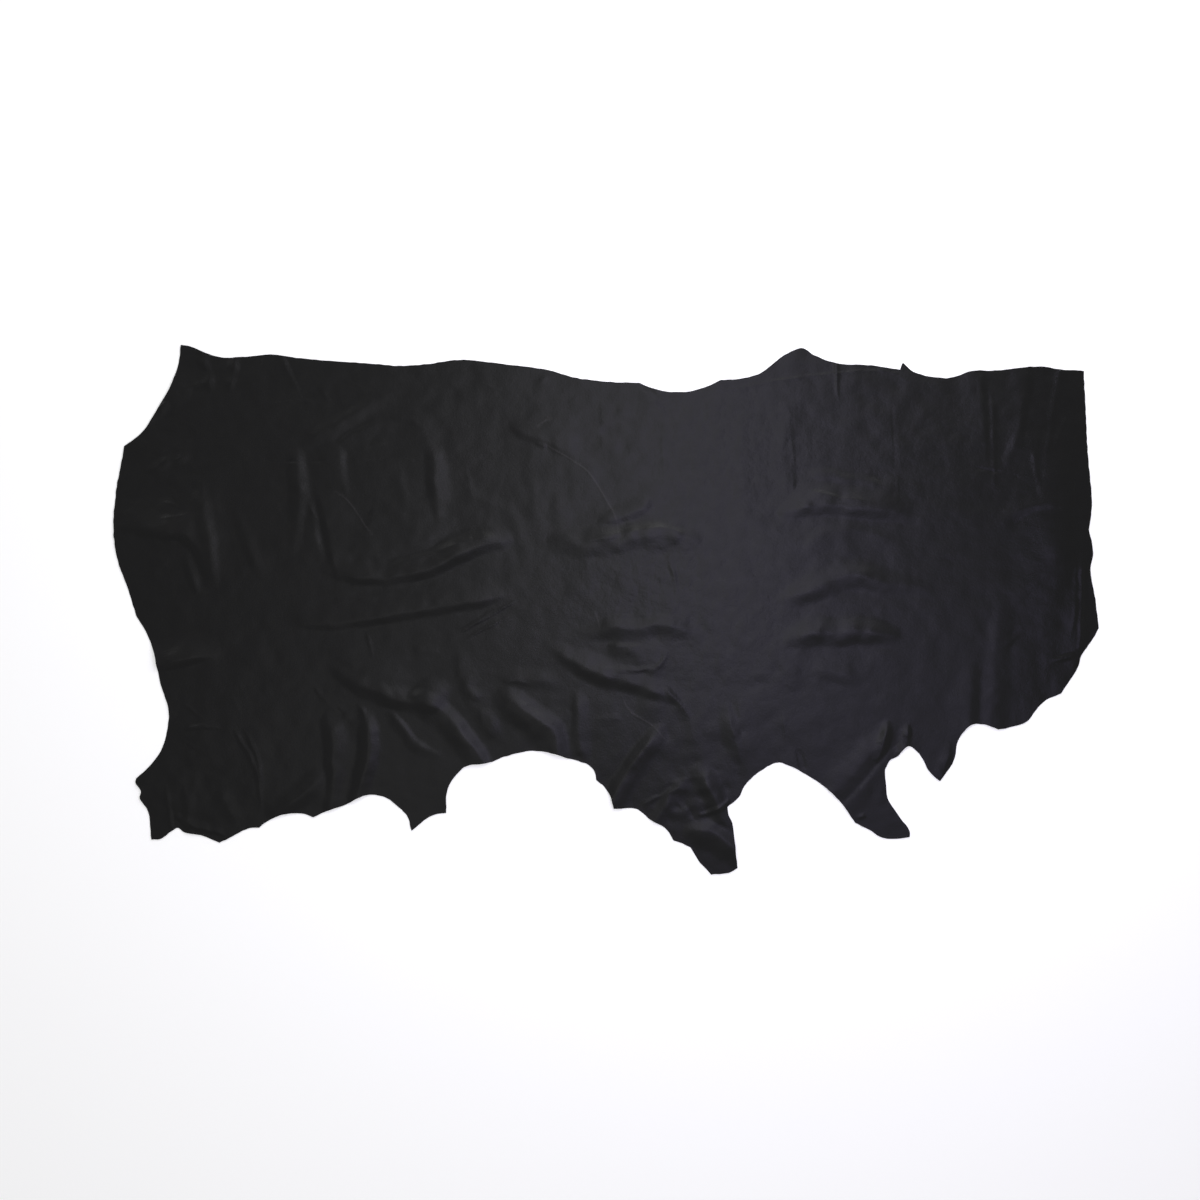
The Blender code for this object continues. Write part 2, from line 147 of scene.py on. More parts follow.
folds = (  # name, height, spread to the left and right, roundness, crest as (x, y, share)
    ("rump upright", 8.5, 29, 38, 0.85, ((-905, 294, 0), (-903, 250, 0.5), (-896, 201, 0.9),
        (-887, 149, 1), (-881, 107, 0.8), (-870, 44, 0))),
    ("rump stub", 4.5, 18, 16, 0.8, ((-943, 127, 0), (-932, 93, 0.7), (-921, 62, 1), (-910, 33, 0))),
    ("rump cross", 9, 98, 25, 0.88, ((-1091, 187, 0), (-1042, 183, 0.7), (-984, 178, 1), (-939, 172, 1),
        (-914, 145, 0.8), (-896, 100, 0.5), (-878, 44, 0))),
    ("rump slant", 2.6, 25, 20, 0.8, ((-832, 227, 0), (-816, 189, 0.8), (-800, 145, 1), (-785, 111, 0.9),
        (-769, 78, 0))),
    ("rump low", 9, 63, 22, 0.88, ((-1028, -123, 0.9), (-986, -117, 1), (-941, -110, 1),
        (-903, -103, 0.6), (-858, -97, 0))),
    ("hip ridge", 5.2, 29, 29, 0.85, ((-695, 375, 0), (-691, 339, 0.8), (-688, 290, 1), (-684, 245, 1),
        (-691, 205, 0.6), (-695, 165, 0.4), (-700, 120, 0))),
    ("hip crease", 2.7, 16, 31, 0.6, ((-671, 259, 0), (-664, 236, 0.7), (-653, 189, 0.9), (-646, 151, 1),
        (-635, 104, 0))),
    ("hip step", 4.2, 78, 18, 0.8, ((-646, 272, 0), (-637, 241, 0.7), (-624, 189, 0.9), (-613, 134, 1),
        (-604, 89, 0.8), (-599, 58, 0))),
    ("loin right", 5.5, 40, 25, 0.88, ((-391, 370, 0), (-387, 346, 0.8), (-382, 290, 1), (-380, 245, 0.8),
        (-378, 201, 0.35), (-376, 156, 0))),
    ("loin thin", 1.1, 18, 31, 0.8, ((-463, 330, 0), (-456, 294, 0.9), (-449, 250, 1), (-443, 212, 0.6),
        (-436, 178, 0))),
    ("loin curve", 1.5, 25, 31, 0.85, ((-331, 294, 0), (-309, 268, 0.6), (-275, 243, 1), (-237, 227, 1),
        (-208, 205, 0.9), (-192, 169, 0.8), (-181, 129, 0.5), (-174, 89, 0))),
    ("loin mid", 2.5, 20, 49, 0.85, ((-599, 379, 0), (-597, 353, 1), (-595, 312, 1), (-588, 272, 0.8),
        (-579, 234, 0))),
    ("loin arc low", 5, 27, 34, 0.85, ((-688, 359, 0), (-664, 379, 0.4), (-637, 397, 0.8), (-601, 415, 1),
        (-568, 433, 0.9), (-541, 453, 0.8), (-510, 471, 0.4), (-478, 484, 0))),
    ("loin arc high", 2.8, 16, 31, 0.7, ((-608, 364, 0), (-586, 379, 0.8), (-559, 395, 1),
        (-532, 406, 0.8), (-505, 413, 0.4), (-478, 400, 0))),
    ("loin shelf", 3.5, 137, 35, 0.91, ((-608, 174, 0), (-554, 131, 0.9), (-461, 138, 1),
        (-389, 167, 0.8), (-340, 205, 0))),
    ("loin fold", 9.5, 54, 29, 0.88, ((-639, 87, 0), (-590, 78, 0.5), (-539, 75, 0.8), (-483, 75, 0.8),
        (-427, 84, 0.9), (-378, 100, 0.9), (-331, 122, 1), (-286, 140, 0.9), (-248, 149, 0.6),
        (-206, 158, 0))),
    ("loin second", 9, 58, 27, 0.88, ((-711, -34, 0), (-635, -30, 0.6), (-572, -23, 0.85), (-505, -14, 1),
        (-434, -5, 0.9), (-349, 11, 1), (-277, 24, 0.6), (-206, 40, 0))),
    ("flank long", 9, 45, 36, 0.85, ((-626, -121, 0), (-581, -146, 0.5), (-534, -170, 0.9),
        (-487, -191, 1), (-449, -202, 0.8), (-411, -208, 0))),
    ("flank swell", 5, 56, 41, 0.96, ((-617, -90, 0), (-577, -112, 0.6), (-528, -139, 1),
        (-478, -159, 0.9), (-434, -179, 0))),
    ("flank lower", 8.5, 29, 45, 0.8, ((-474, -188, 0), (-440, -197, 0.7), (-414, -202, 0.9),
        (-387, -215, 1), (-360, -235, 1), (-335, -262, 1), (-311, -293, 1), (-288, -325, 0.8),
        (-264, -360, 0.5))),
    ("flank second", 4.2, 13, 27, 0.7, ((-487, -229, 0), (-469, -242, 0.8), (-452, -264, 1),
        (-431, -291, 1), (-400, -313, 0.6), (-360, -331, 0))),
    ("stifle left", 8, 40, 27, 0.8, ((-626, -229, 0), (-615, -264, 0.9), (-608, -302, 1),
        (-608, -347, 0.8), (-610, -392, 0.6), (-615, -443, 0.5))),
    ("stifle right", 8.5, 34, 29, 0.8, ((-541, -220, 0), (-534, -258, 0.8), (-532, -296, 1),
        (-537, -340, 1), (-548, -392, 0.8), (-557, -439, 0.7))),
    ("stifle lump", 5.5, 36, 31, 0.8, ((-738, -452, 0.5), (-702, -430, 0.9), (-671, -407, 1),
        (-650, -385, 0.9), (-637, -358, 0))),
    ("belly strong", 10.5, 36, 58, 0.8, ((-241, -175, 0), (-212, -202, 0.8), (-179, -226, 1),
        (-148, -249, 1), (-123, -271, 0.9), (-112, -296, 0.8), (-110, -345, 0.7))),
    ("belly front", 11, 45, 31, 0.85, ((-145, -63, 0), (-112, -90, 0.15), (-81, -112, 0.5),
        (-49, -128, 1), (-11, -144, 1), (31, -157, 0.75), (78, -170, 0.55), (121, -184, 0.4),
        (165, -206, 0))),
    ("belly small", 2.5, 31, 25, 0.82, ((-248, -150, 0), (-203, -153, 1), (-154, -157, 1),
        (-98, -170, 0))),
    ("belly upright", 3.5, 31, 18, 0.8, ((-63, -175, 0), (-65, -213, 0.9), (-63, -258, 1),
        (-58, -318, 1))),
    ("waist upper", 8.8, 36, 49, 0.88, ((-134, 154, 0), (-90, 154, 0.7), (-40, 154, 0.9), (11, 158, 0.9),
        (58, 167, 1), (112, 174, 1), (150, 172, 0.9), (188, 158, 0.5), (232, 134, 0))),
    ("waist tick", 4.2, 36, 22, 0.78, ((-18, 196, 0), (18, 203, 0.8), (54, 216, 1), (83, 234, 0.7),
        (98, 248, 0))),
    ("waist lower", 7.5, 29, 38, 0.88, ((-63, -50, 0), (-18, -45, 0.4), (22, -36, 0.9), (69, -39, 0.75),
        (121, -32, 1), (163, -39, 0.6), (214, -52, 0))),
    ("saddle scar fold", 4.3, 85, 20, 0.75, ((-219, 413, 0), (-188, 395, 0.9), (-136, 377, 1),
        (-96, 357, 1), (-63, 339, 0))),
    ("waist upright", 0.8, 27, 22, 0.85, ((-163, 379, 0), (-166, 312, 0.8), (-159, 245, 1),
        (-150, 178, 0.6), (-139, 111, 0))),
    ("waist upright 2", 0.9, 36, 22, 0.85, ((-112, 330, 0), (-112, 268, 0.8), (-105, 201, 1),
        (-92, 122, 0.8), (-76, 44, 0.5), (-63, -34, 0))),
    ("withers upright", 1.5, 27, 29, 0.9, ((395, 496, 0), (400, 424, 0.7), (395, 346, 1), (402, 268, 0.9),
        (402, 212, 0.5), (404, 145, 0))),
    ("withers upright 2", 0.9, 29, 29, 0.9, ((302, 413, 0), (306, 357, 0.8), (304, 301, 1),
        (308, 245, 0.7), (308, 189, 0))),
    ("elbow upright", 2, 48, 28, 0.91, ((293, -191, 0), (304, -251, 1), (313, -313, 1),
        (317, -381, 0.6))),
    ("shoulder first", 8.5, 67, 34, 0.88, ((380, 214, 0), (431, 227, 0.7), (478, 236, 1), (527, 234, 0.8),
        (581, 232, 1), (641, 221, 0.5), (706, 203, 0))),
    ("shoulder upper", 2.9, 20, 22, 0.9, ((447, 303, 0), (478, 301, 0.8), (527, 294, 1), (572, 288, 1),
        (617, 277, 0.6), (653, 270, 0))),
    ("shoulder soft", 1.8, 20, 40, 0.9, ((440, 129, 0), (460, 154, 0.8), (489, 172, 1), (530, 180, 1),
        (572, 176, 0.9), (612, 165, 0.6), (646, 151, 0))),
    ("shoulder second", 7.8, 42, 38, 0.88, ((384, 20, 0), (427, 33, 0.7), (467, 49, 1), (503, 66, 0.8),
        (539, 78, 1), (577, 75, 0.9), (617, 64, 0.6), (661, 55, 0.4), (724, 44, 0))),
    ("shoulder third", 9, 40, 38, 0.88, ((384, -68, 0), (433, -59, 0.6), (478, -50, 1), (518, -52, 0.9),
        (559, -47, 1), (603, -52, 0.8), (657, -63, 0))),
    ("shoulder stub", 3, 31, 31, 0.91, ((440, -121, 0), (489, -135, 1), (541, -150, 0.8),
        (577, -170, 0))),
    ("neck fold", 4.5, 20, 54, 0.85, ((943, 603, 1), (941, 531, 1), (936, 480, 1), (927, 435, 0.8),
        (921, 379, 0.4), (916, 324, 0))),
    ("neck second", 2, 13, 13, 0.6, ((1017, 592, 1), (1010, 513, 1), (1001, 458, 1), (992, 397, 0.8),
        (983, 339, 0.5), (977, 286, 0))),
    ("neck third", 2.8, 18, 20, 0.7, ((941, 491, 0), (930, 435, 0.8), (916, 384, 1), (901, 346, 0.8),
        (889, 317, 0))),
    ("neck cross", 1.2, 13, 11, 0.6, ((948, 397, 0), (952, 353, 1), (961, 301, 1), (970, 263, 0.8),
        (977, 232, 0))),
    ("neck soft", 4, 27, 54, 0.85, ((825, 603, 1), (827, 531, 1), (831, 480, 0.8), (840, 402, 0.6),
        (854, 324, 0))),
    ("neck arc", 3, 31, 20, 0.75, ((878, 174, 0), (894, 198, 0.7), (914, 216, 0.9), (943, 230, 1),
        (981, 236, 1), (1019, 245, 0.8), (1050, 254, 0.4))),
    ("neck roll", 2.2, 22, 40, 0.9, ((1057, 120, 0), (1059, 66, 0.8), (1059, -1, 1), (1059, -68, 1),
        (1055, -108, 0.6), (1037, -153, 0))),
    ("neck bend", 4, 40, 76, 0.9, ((1001, 429, 0), (1006, 384, 0.15), (1010, 335, 0.45), (1015, 279, 0.8),
        (1015, 218, 1), (1015, 156, 0.95), (1019, 107, 0.6), (1028, 58, 0.2), (1032, 22, 0))),
    ("throat rear", 3.6, 29, 49, 0.85, ((816, -101, 0), (816, -161, 0.6), (811, -211, 1),
        (807, -264, 1))),
    ("throat front", 3, 45, 31, 0.85, ((878, 22, 0), (874, -56, 0.7), (869, -123, 0.8), (863, -179, 1),
        (858, -264, 1))),
    ("fore fold", 5, 49, 42, 0.78, ((496, -419, 0.8), (530, -385, 1), (568, -347, 1), (603, -309, 0.9),
        (630, -273, 0.5), (648, -246, 0))),
    ("fore flap", 3, 13, 43, 0.78, ((527, -445, 1), (556, -412, 1), (590, -376, 1), (621, -338, 1),
        (637, -316, 0.4))),
    ("mid leg ridge", 8, 38, 27, 0.8, ((125, -255, 0), (105, -287, 0.8), (78, -320, 1), (51, -363, 1),
        (13, -430, 1))),
    ("mid leg second", 4.5, 28, 22, 0.78, ((183, -376, 0), (152, -410, 1), (132, -439, 1),
        (107, -474, 1))),
    ("mid leg dent", 7, 38, 28, 0.75, ((201, -340, 0), (221, -385, 1), (244, -430, 0.9),
        (259, -465, 0.4))),
    ("mid leg shelf", 7, 28, 48, 0.73, ((170, -497, 0), (212, -494, 1), (250, -503, 1),
        (290, -537, 0.8))),
)

swells = (  # name, height, x, y, half length, half width, turn
    ("loin pillow", 2.5, -501, 234, 181, 151, 0),
    ("tail corner", 5.0, -970, 487, 66, 48, 60),
    ("flank lump", 7.0, -392, -190, 54, 46, 20),
    ("belly lump", 3.0, 76, -101, 106, 66, 0),
    ("neck fall", 7.0, 1000, 223, 120, 430, 0),
)

wrinkles = (  # as the folds, in the grain side alone and one on another; grooves are negative
    ("tail pleat", 3, 18, 20, 0.7, ((-905, 581, 1), (-896, 545, 1), (-887, 513, 0.8), (-881, 482, 0))),
    ("tail pleat two", 2.4, 16, 22, 0.6, ((-829, 567, 1), (-834, 522, 0.9), (-845, 473, 0))),
    ("tail pleat three", -1.2, 9, 11, 0.5, ((-773, 572, 1), (-771, 518, 0))),
    ("tail crease", 1.1, 11, 9, 0.4, ((-952, 496, 0), (-930, 498, 1), (-901, 505, 0.7), (-885, 509, 0))),
    ("tail root", 3.5, 11, 27, 0.7, ((-1019, 435, 1), (-995, 453, 1), (-975, 464, 0))),
    ("back pleat", 1.8, 11, 16, 0.5, ((-726, 572, 1), (-711, 534, 1), (-691, 496, 0.4), (-684, 482, 0))),
    ("back thin", 0.9, 7, 11, 0.4, ((-751, 458, 0), (-720, 464, 0.9), (-684, 467, 1), (-648, 462, 0.6),
        (-626, 460, 0))),
    ("back pit", -1.6, 11, 11, 0.8, ((-682, 475, 0), (-666, 478, 1), (-650, 478, 0))),
    ("back tick", 0.8, 9, 7, 0.5, ((-644, 500, 0), (-628, 478, 1), (-615, 458, 0))),
    ("back crease", 0.6, 7, 7, 0.4, ((-599, 518, 0), (-568, 507, 1), (-537, 493, 0))),
    ("rump wrinkle one", 0.8, 16, 13, 0.6, ((-1015, 341, 0), (-986, 353, 1), (-957, 364, 0.8),
        (-939, 368, 0))),
    ("rump wrinkle two", 3.2, 31, 20, 0.8, ((-1028, 303, 0), (-1001, 317, 0.8), (-975, 330, 1),
        (-948, 339, 0.8), (-925, 348, 0))),
    ("rump wrinkle three", 0.8, 7, 7, 0.4, ((-1033, 294, 0), (-997, 299, 1), (-957, 308, 0))),
    ("rump wrinkle four", 0.8, 7, 7, 0.5, ((-992, 241, 0), (-970, 236, 1), (-952, 227, 0))),
    ("rump wrinkle five", 0.7, 7, 7, 0.5, ((-1001, 203, 0), (-961, 207, 1), (-930, 216, 0))),
    ("rump tick", 0.9, 9, 7, 0.5, ((-968, 272, 0), (-963, 250, 1), (-957, 227, 0))),
    ("rump dimple", 0.9, 9, 9, 0.6, ((-1001, 58, 0), (-975, 60, 1), (-943, 58, 0))),
    ("rump crease", 0.9, 7, 7, 0.3, ((-948, -206, 0), (-930, -220, 1), (-894, -249, 0))),
    ("rump band", 2.2, 11, 11, 0.6, ((-943, -271, 0), (-925, -264, 1), (-896, -260, 1), (-872, -262, 0.6),
        (-854, -271, 0))),
    ("rump little", 0.5, 6, 6, 0.4, ((-948, -296, 0), (-930, -302, 1), (-903, -316, 0))),
    ("rump little two", 0.4, 6, 6, 0.4, ((-943, -316, 0), (-925, -320, 1), (-899, -329, 0))),
    ("long crease", 1.6, 9, 11, 0.5, ((-832, -264, 0), (-818, -291, 0.8), (-798, -322, 1),
        (-782, -358, 1), (-773, -403, 0.7), (-769, -456, 0))),
    ("long crease two", 1.6, 11, 9, 0.5, ((-811, -260, 0), (-796, -291, 0.8), (-782, -325, 1),
        (-773, -363, 1), (-767, -407, 0))),
    ("faint crease", 0.35, 6, 6, 0.4, ((-843, -179, 0), (-825, -215, 1), (-809, -251, 0))),
    ("faint crease two", 0.35, 6, 6, 0.4, ((-827, -157, 0), (-814, -179, 1), (-800, -202, 0))),
    ("shank pleat", 2.6, 27, 18, 0.7, ((-943, -385, 0), (-939, -414, 1), (-934, -452, 1),
        (-930, -492, 0.8))),
    ("shank pleat two", 2.6, 27, 31, 0.7, ((-861, -392, 0), (-854, -421, 1), (-840, -452, 0.8),
        (-823, -479, 0))),
    ("shank pleat three", 1.1, 11, 9, 0.6, ((-986, -381, 0), (-979, -425, 1), (-972, -483, 0.8))),
    ("shank foot", 3.2, 18, 10, 0.6, ((-957, -465, 0.4), (-930, -479, 1), (-903, -490, 1),
        (-876, -494, 0.8), (-849, -506, 0))),
    ("hock wedge", 1.5, 16, 22, 0.7, ((-742, -448, 0), (-706, -427, 0.7), (-677, -410, 1),
        (-653, -381, 0.3))),
    ("hock tick", 1.2, 9, 9, 0.5, ((-657, -166, 0), (-639, -188, 1), (-615, -215, 0))),
    ("arc shadow", 1.5, 18, 13, 0.6, ((-481, 426, 0), (-456, 426, 1), (-434, 422, 0.8), (-414, 411, 0))),
    ("loin dimple", 1.1, 9, 11, 0.6, ((-532, 368, 0), (-505, 373, 1), (-474, 368, 0))),
    ("loin stroke", 0.6, 7, 7, 0.4, ((-666, 236, 0), (-655, 218, 1), (-642, 196, 0))),
    ("loin upper line", 1.6, 16, 13, 0.7, ((-516, 93, 0), (-461, 102, 0.8), (-405, 120, 1),
        (-353, 140, 1), (-309, 156, 1), (-266, 163, 1), (-235, 158, 0))),
    ("loin end", 1.5, 31, 22, 0.9, ((-349, 138, 0), (-313, 149, 0.8), (-277, 158, 1), (-246, 158, 0.7),
        (-215, 149, 0))),
    ("loin low line", 1.2, 11, 13, 0.5, ((-621, 13, 0), (-572, 22, 1), (-505, 31, 1), (-425, 49, 0))),
    ("loin side", 0.5, 9, 11, 0.6, ((-315, 335, 0), (-309, 294, 1), (-295, 241, 0))),
    ("loin straight", -0.7, 7, 7, 0.6, ((-890, 332, 0), (-818, 332, 0.8), (-684, 332, 1), (-528, 332, 1),
        (-393, 335, 0.8), (-331, 339, 0))),
    ("fold mark across", 0.45, 7, 7, 0.3, ((-899, 335, 0), (-796, 332, 0.6), (-684, 335, 0.4),
        (-572, 337, 0.6), (-483, 339, 1), (-393, 339, 1), (-286, 341, 0.8), (-259, 350, 0.6),
        (-239, 370, 0.5), (-221, 391, 0))),
    ("flank tick", 1, 9, 9, 0.5, ((-539, -45, 0), (-528, -74, 1), (-519, -112, 0))),
    ("flank bar", 1.1, 18, 18, 0.7, ((-461, -94, 0), (-425, -90, 1), (-389, -92, 1), (-358, -101, 0))),
    ("flank inner", 3, 45, 25, 0.85, ((-333, -94, 0), (-315, -157, 0.8), (-293, -206, 1),
        (-266, -258, 0.8), (-241, -307, 0))),
    ("flank mottle", -0.9, 9, 9, 0.6, ((-608, -215, 0), (-590, -231, 1), (-568, -242, 0))),
    ("flank mottle two", 0.8, 9, 9, 0.6, ((-568, -202, 0), (-545, -224, 1), (-537, -251, 0))),
    ("belly thin one", 1.4, 6, 6, 0.5, ((-344, -63, 0), (-304, -39, 1), (-259, -14, 1), (-224, 8, 1),
        (-197, 22, 0))),
    ("belly thin two", 1.4, 6, 6, 0.5, ((-322, -70, 0), (-291, -54, 1), (-255, -34, 1), (-212, -14, 0))),
    ("belly thin three", 1.2, 6, 6, 0.5, ((-340, -50, 0), (-300, -32, 1), (-259, -7, 1), (-233, 8, 0))),
    ("belly smudge", 1, 9, 9, 0.7, ((-241, -161, 0), (-203, -159, 1), (-166, -166, 0))),
    ("belly dent", 2.8, 11, 29, 0.8, ((0, -83, 0), (22, -81, 1), (49, -83, 1), (76, -83, 0.6),
        (103, -88, 0))),
    ("belly double", 1.8, 11, 11, 0.6, ((-14, -132, 0), (20, -132, 1), (76, -135, 1), (107, -130, 0.8),
        (130, -112, 0.5), (138, -81, 0))),
    ("belly rim", 0.8, 9, 11, 0.5, ((76, -148, 0), (103, -137, 1), (123, -117, 0.8), (127, -72, 0))),
    ("belly tail", 1.4, 11, 13, 0.5, ((116, -157, 0), (143, -184, 1), (165, -211, 1), (192, -244, 0))),
    ("belly bright", 1.2, 18, 27, 0.7, ((-27, -246, 0), (-7, -242, 1), (18, -242, 1), (38, -249, 0))),
    ("waist double", 0.7, 7, 7, 0.4, ((0, -18, 0), (54, -14, 1), (130, -14, 1), (197, -23, 0))),
    ("waist bright line", 1.4, 13, 11, 0.7, ((-69, 156, 0), (-31, 156, 0.5), (13, 165, 0.8), (58, 176, 1),
        (109, 183, 0.8), (147, 180, 0.4), (176, 167, 0.2), (206, 145, 0))),
    ("waist slit", 1, 9, 9, 0.5, ((141, 129, 0), (147, 93, 1), (154, 66, 0.7), (159, 31, 0))),
    ("back pin", 0.9, 9, 9, 0.8, ((-143, 513, 0.8), (-136, 516, 1))),
    ("back line", 0.6, 7, 7, 0.4, ((-286, 505, 0), (-259, 500, 1), (-217, 482, 0))),
    ("fold mark one", 0.35, 11, 7, 0.5, ((-9, 505, 0.6), (-11, 424, 1), (-9, 339, 0))),
    ("fold mark two", 0.35, 13, 7, 0.5, ((125, 473, 0), (127, 379, 1), (130, 294, 0.8), (134, 234, 0))),
    ("back wedge", -2.2, 13, 13, 0.5, ((76, 509, 1), (103, 484, 1), (121, 464, 0.7), (143, 438, 0))),
    ("back notch", -1, 6, 6, 0.4, ((165, 493, 1), (174, 460, 0))),
    ("hem step", 1, 7, 9, 0.35, ((188, 478, 0), (237, 491, 0.6), (290, 493, 0.8), (349, 505, 1),
        (407, 516, 1), (460, 522, 0.8), (523, 529, 0.6), (585, 534, 0.6), (648, 527, 0.5),
        (684, 500, 0))),
    ("spur crease", 1.8, 9, 9, 0.4, ((514, 549, 1), (516, 502, 0.8), (521, 460, 0))),
    ("spur pin", 1, 9, 9, 0.8, ((612, 538, 0.8), (619, 536, 1))),
    ("fold mark three", 0.5, 9, 9, 0.5, ((407, 478, 0), (411, 402, 0.8), (418, 335, 1),
        (418, 256, 0.8), (420, 192, 0))),
    ("fold mark four", -0.4, 9, 7, 0.4, ((641, 480, 0), (641, 424, 1), (644, 357, 0.8), (644, 294, 0))),
    ("fold mark five", 0.45, 7, 9, 0.5, ((650, 312, 0), (650, 256, 1), (648, 227, 0))),
    ("saddle blob", 1.2, 9, 11, 0.7, ((-152, 370, 0.6), (-139, 366, 1))),
    ("shoulder line", 0.8, 9, 13, 0.4, ((447, 270, 0), (478, 261, 1), (523, 250, 1), (563, 245, 0.8),
        (603, 241, 0))),
    ("leaf", 3.5, 22, 31, 0.8, ((270, -206, 0), (277, -242, 0.8), (284, -280, 1), (293, -313, 0.6),
        (302, -349, 0))),
    ("breast tick", 0.9, 9, 9, 0.6, ((393, -229, 0), (398, -260, 1), (402, -300, 0))),
    ("armpit pit", -1.8, 13, 11, 0.6, ((425, -309, 0), (431, -327, 1), (438, -349, 1))),
    ("fore pocket", 5.5, 20, 18, 0.6, ((630, -246, 0), (623, -278, 1), (615, -307, 1), (606, -331, 0.5))),
    ("armpit edge", 4, 13, 27, 0.7, ((675, -251, 0), (673, -282, 1), (668, -318, 1))),
    ("breast tip", 2.4, 13, 27, 0.7, ((769, -291, 0), (764, -329, 1), (749, -372, 1))),
    ("fore spot", 1.6, 9, 11, 0.9, ((568, -463, 0.7), (574, -461, 1))),
    ("neck line one", 1.2, 11, 11, 0.6, ((858, 502, 0), (863, 446, 1), (865, 379, 1), (867, 312, 0.6),
        (869, 245, 0))),
    ("neck line two", 1.1, 11, 13, 0.6, ((836, 518, 1), (842, 446, 0.8), (847, 379, 0.6), (849, 330, 0))),
    ("neck fine one", 0.6, 7, 9, 0.4, ((1046, 120, 0), (1048, 55, 1), (1044, -23, 1), (1032, -79, 0))),
    ("neck mark", 2.4, 11, 11, 0.6, ((992, -115, 0), (1015, -110, 1), (1041, -103, 0.8))),
    ("neck bright line", 1.5, 9, 9, 0.5, ((1064, 138, 0), (1062, 89, 1), (1062, -1, 1),
        (1057, -85, 0.7))),
    ("neck thin", 0.6, 7, 9, 0.5, ((959, 406, 0), (961, 362, 1), (965, 312, 0))),
    ("neck slant", 0.6, 9, 9, 0.5, ((1032, 442, 0), (1021, 413, 1), (1006, 379, 0.8), (992, 344, 0))),
    ("nick", -1.5, 4, 9, 0.4, ((822, 319, 0), (840, 315, 1), (863, 310, 1), (887, 308, 0))),
    ("neck patch", 1.2, 13, 13, 0.7, ((880, -85, 0), (907, -68, 1), (934, -41, 0))),
    ("middle crease", 0.5, 9, 11, 0.5, ((109, -401, 0), (138, -389, 1), (183, -378, 1), (237, -369, 0.8),
        (295, -363, 0))),
    ("middle lip", 3.4, 11, 11, 0.5, ((206, -459, 0), (228, -454, 1), (250, -445, 1), (273, -427, 0.5))),
    ("middle stripe", 1.2, 9, 9, 0.5, ((80, -439, 0), (103, -425, 1), (138, -410, 0.8), (165, -394, 0))),
    ("middle dark", 1.4, 11, 11, 0.6, ((147, -414, 0), (174, -443, 1), (192, -474, 0))),
)

crumples = (  # patches of small unevenness: name, height, cell, x, y, half length, half width, turn
    ("loin crumple", 1.2, 21, -494, 185, 150, 110, 0),
    ("flank crumple", 1.0, 17, -572, -229, 80, 70, 0),
    ("hind shank crumple", 1.3, 20, -907, -403, 150, 120, 0),
    ("middle shank crumple", 1.5, 19, 188, -425, 130, 110, 0),
    ("tail crumple", 0.8, 18, -880, 500, 160, 90, 0),
    ("back crumple", 0.7, 17, -600, 480, 190, 70, 0),
    ("fore shank crumple", 0.9, 17, 640, -420, 90, 100, 0),
    ("neck crumple", 0.5, 20, 1000, 200, 90, 330, 0),
    ("rump crumple", 0.5, 18, -985, 130, 110, 220, 0),
    ("saddle crumple", 1.2, 20, -10, 390, 170, 110, 0),
    ("withers crumple", 0.8, 31, 612, 446, 250, 130, 0),
    ("waist crumple", 0.6, 24, 80, 80, 160, 120, 0),
)

mottles = (  # where the cloudy mottle stands out more: name, added share, then as the swells
    ("waist mottle", 2.0, 60, 66, 270, 180, 0),
    ("withers mottle", 1.4, 290, 350, 300, 240, 0),
    ("shoulder mottle", 0.8, 300, -30, 300, 220, 0),
    ("neck mottle", 0.9, 760, 360, 260, 220, 0),
)

scars = (  # healed scratches, thin and pale
    ("scar long", 0.3, 3, 3, 0.6, ((-141, 373, 0), (-119, 359, 1), (-81, 337, 1), (-40, 308, 1),
        (-14, 270, 1), (11, 227, 1), (22, 203, 0.7), (27, 174, 0.3), (27, 111, 0.2), (18, 44, 0))),
    ("scar fork", 0.2, 3, 3, 0.6, ((-161, 406, 0.4), (-136, 422, 1), (-116, 431, 0))),
    ("scar low", 0.22, 3, 3, 0.6, ((-29, 8, 0), (-20, -18, 1), (-14, -50, 0))),
    ("scar belly", 0.24, 3, 3, 0.6, ((33, -184, 0), (45, -215, 1), (58, -231, 1), (80, -244, 1),
        (107, -262, 1), (130, -287, 0.6), (143, -300, 0))),
    ("scar loin", 0.2, 3, 3, 0.6, ((-610, 268, 0), (-581, 248, 1), (-557, 218, 0.8), (-537, 187, 0.8),
        (-514, 160, 0))),
)


def softNoise(x, y, cell, seed):
    # random values at the corners of square cells, blended across each cell by 6t^5 - 15t^4 + 10t^3
    values = np.random.default_rng(seed).uniform(-1, 1, (noiseCells, noiseCells))
    u, v = x / cell + noiseCells / 2, y / cell + noiseCells / 2
    column, row = np.floor(u).astype(int), np.floor(v).astype(int)
    s, t = u - column, v - row
    s = s * s * s * (s * (6 * s - 15) + 10)
    t = t * t * t * (t * (6 * t - 15) + 10)
    row, column = row % noiseCells, column % noiseCells
    nextRow, nextColumn = (row + 1) % noiseCells, (column + 1) % noiseCells
    low = values[row, column] * (1 - s) + values[row, nextColumn] * s
    high = values[nextRow, column] * (1 - s) + values[nextRow, nextColumn] * s
    return low * (1 - t) + high * t


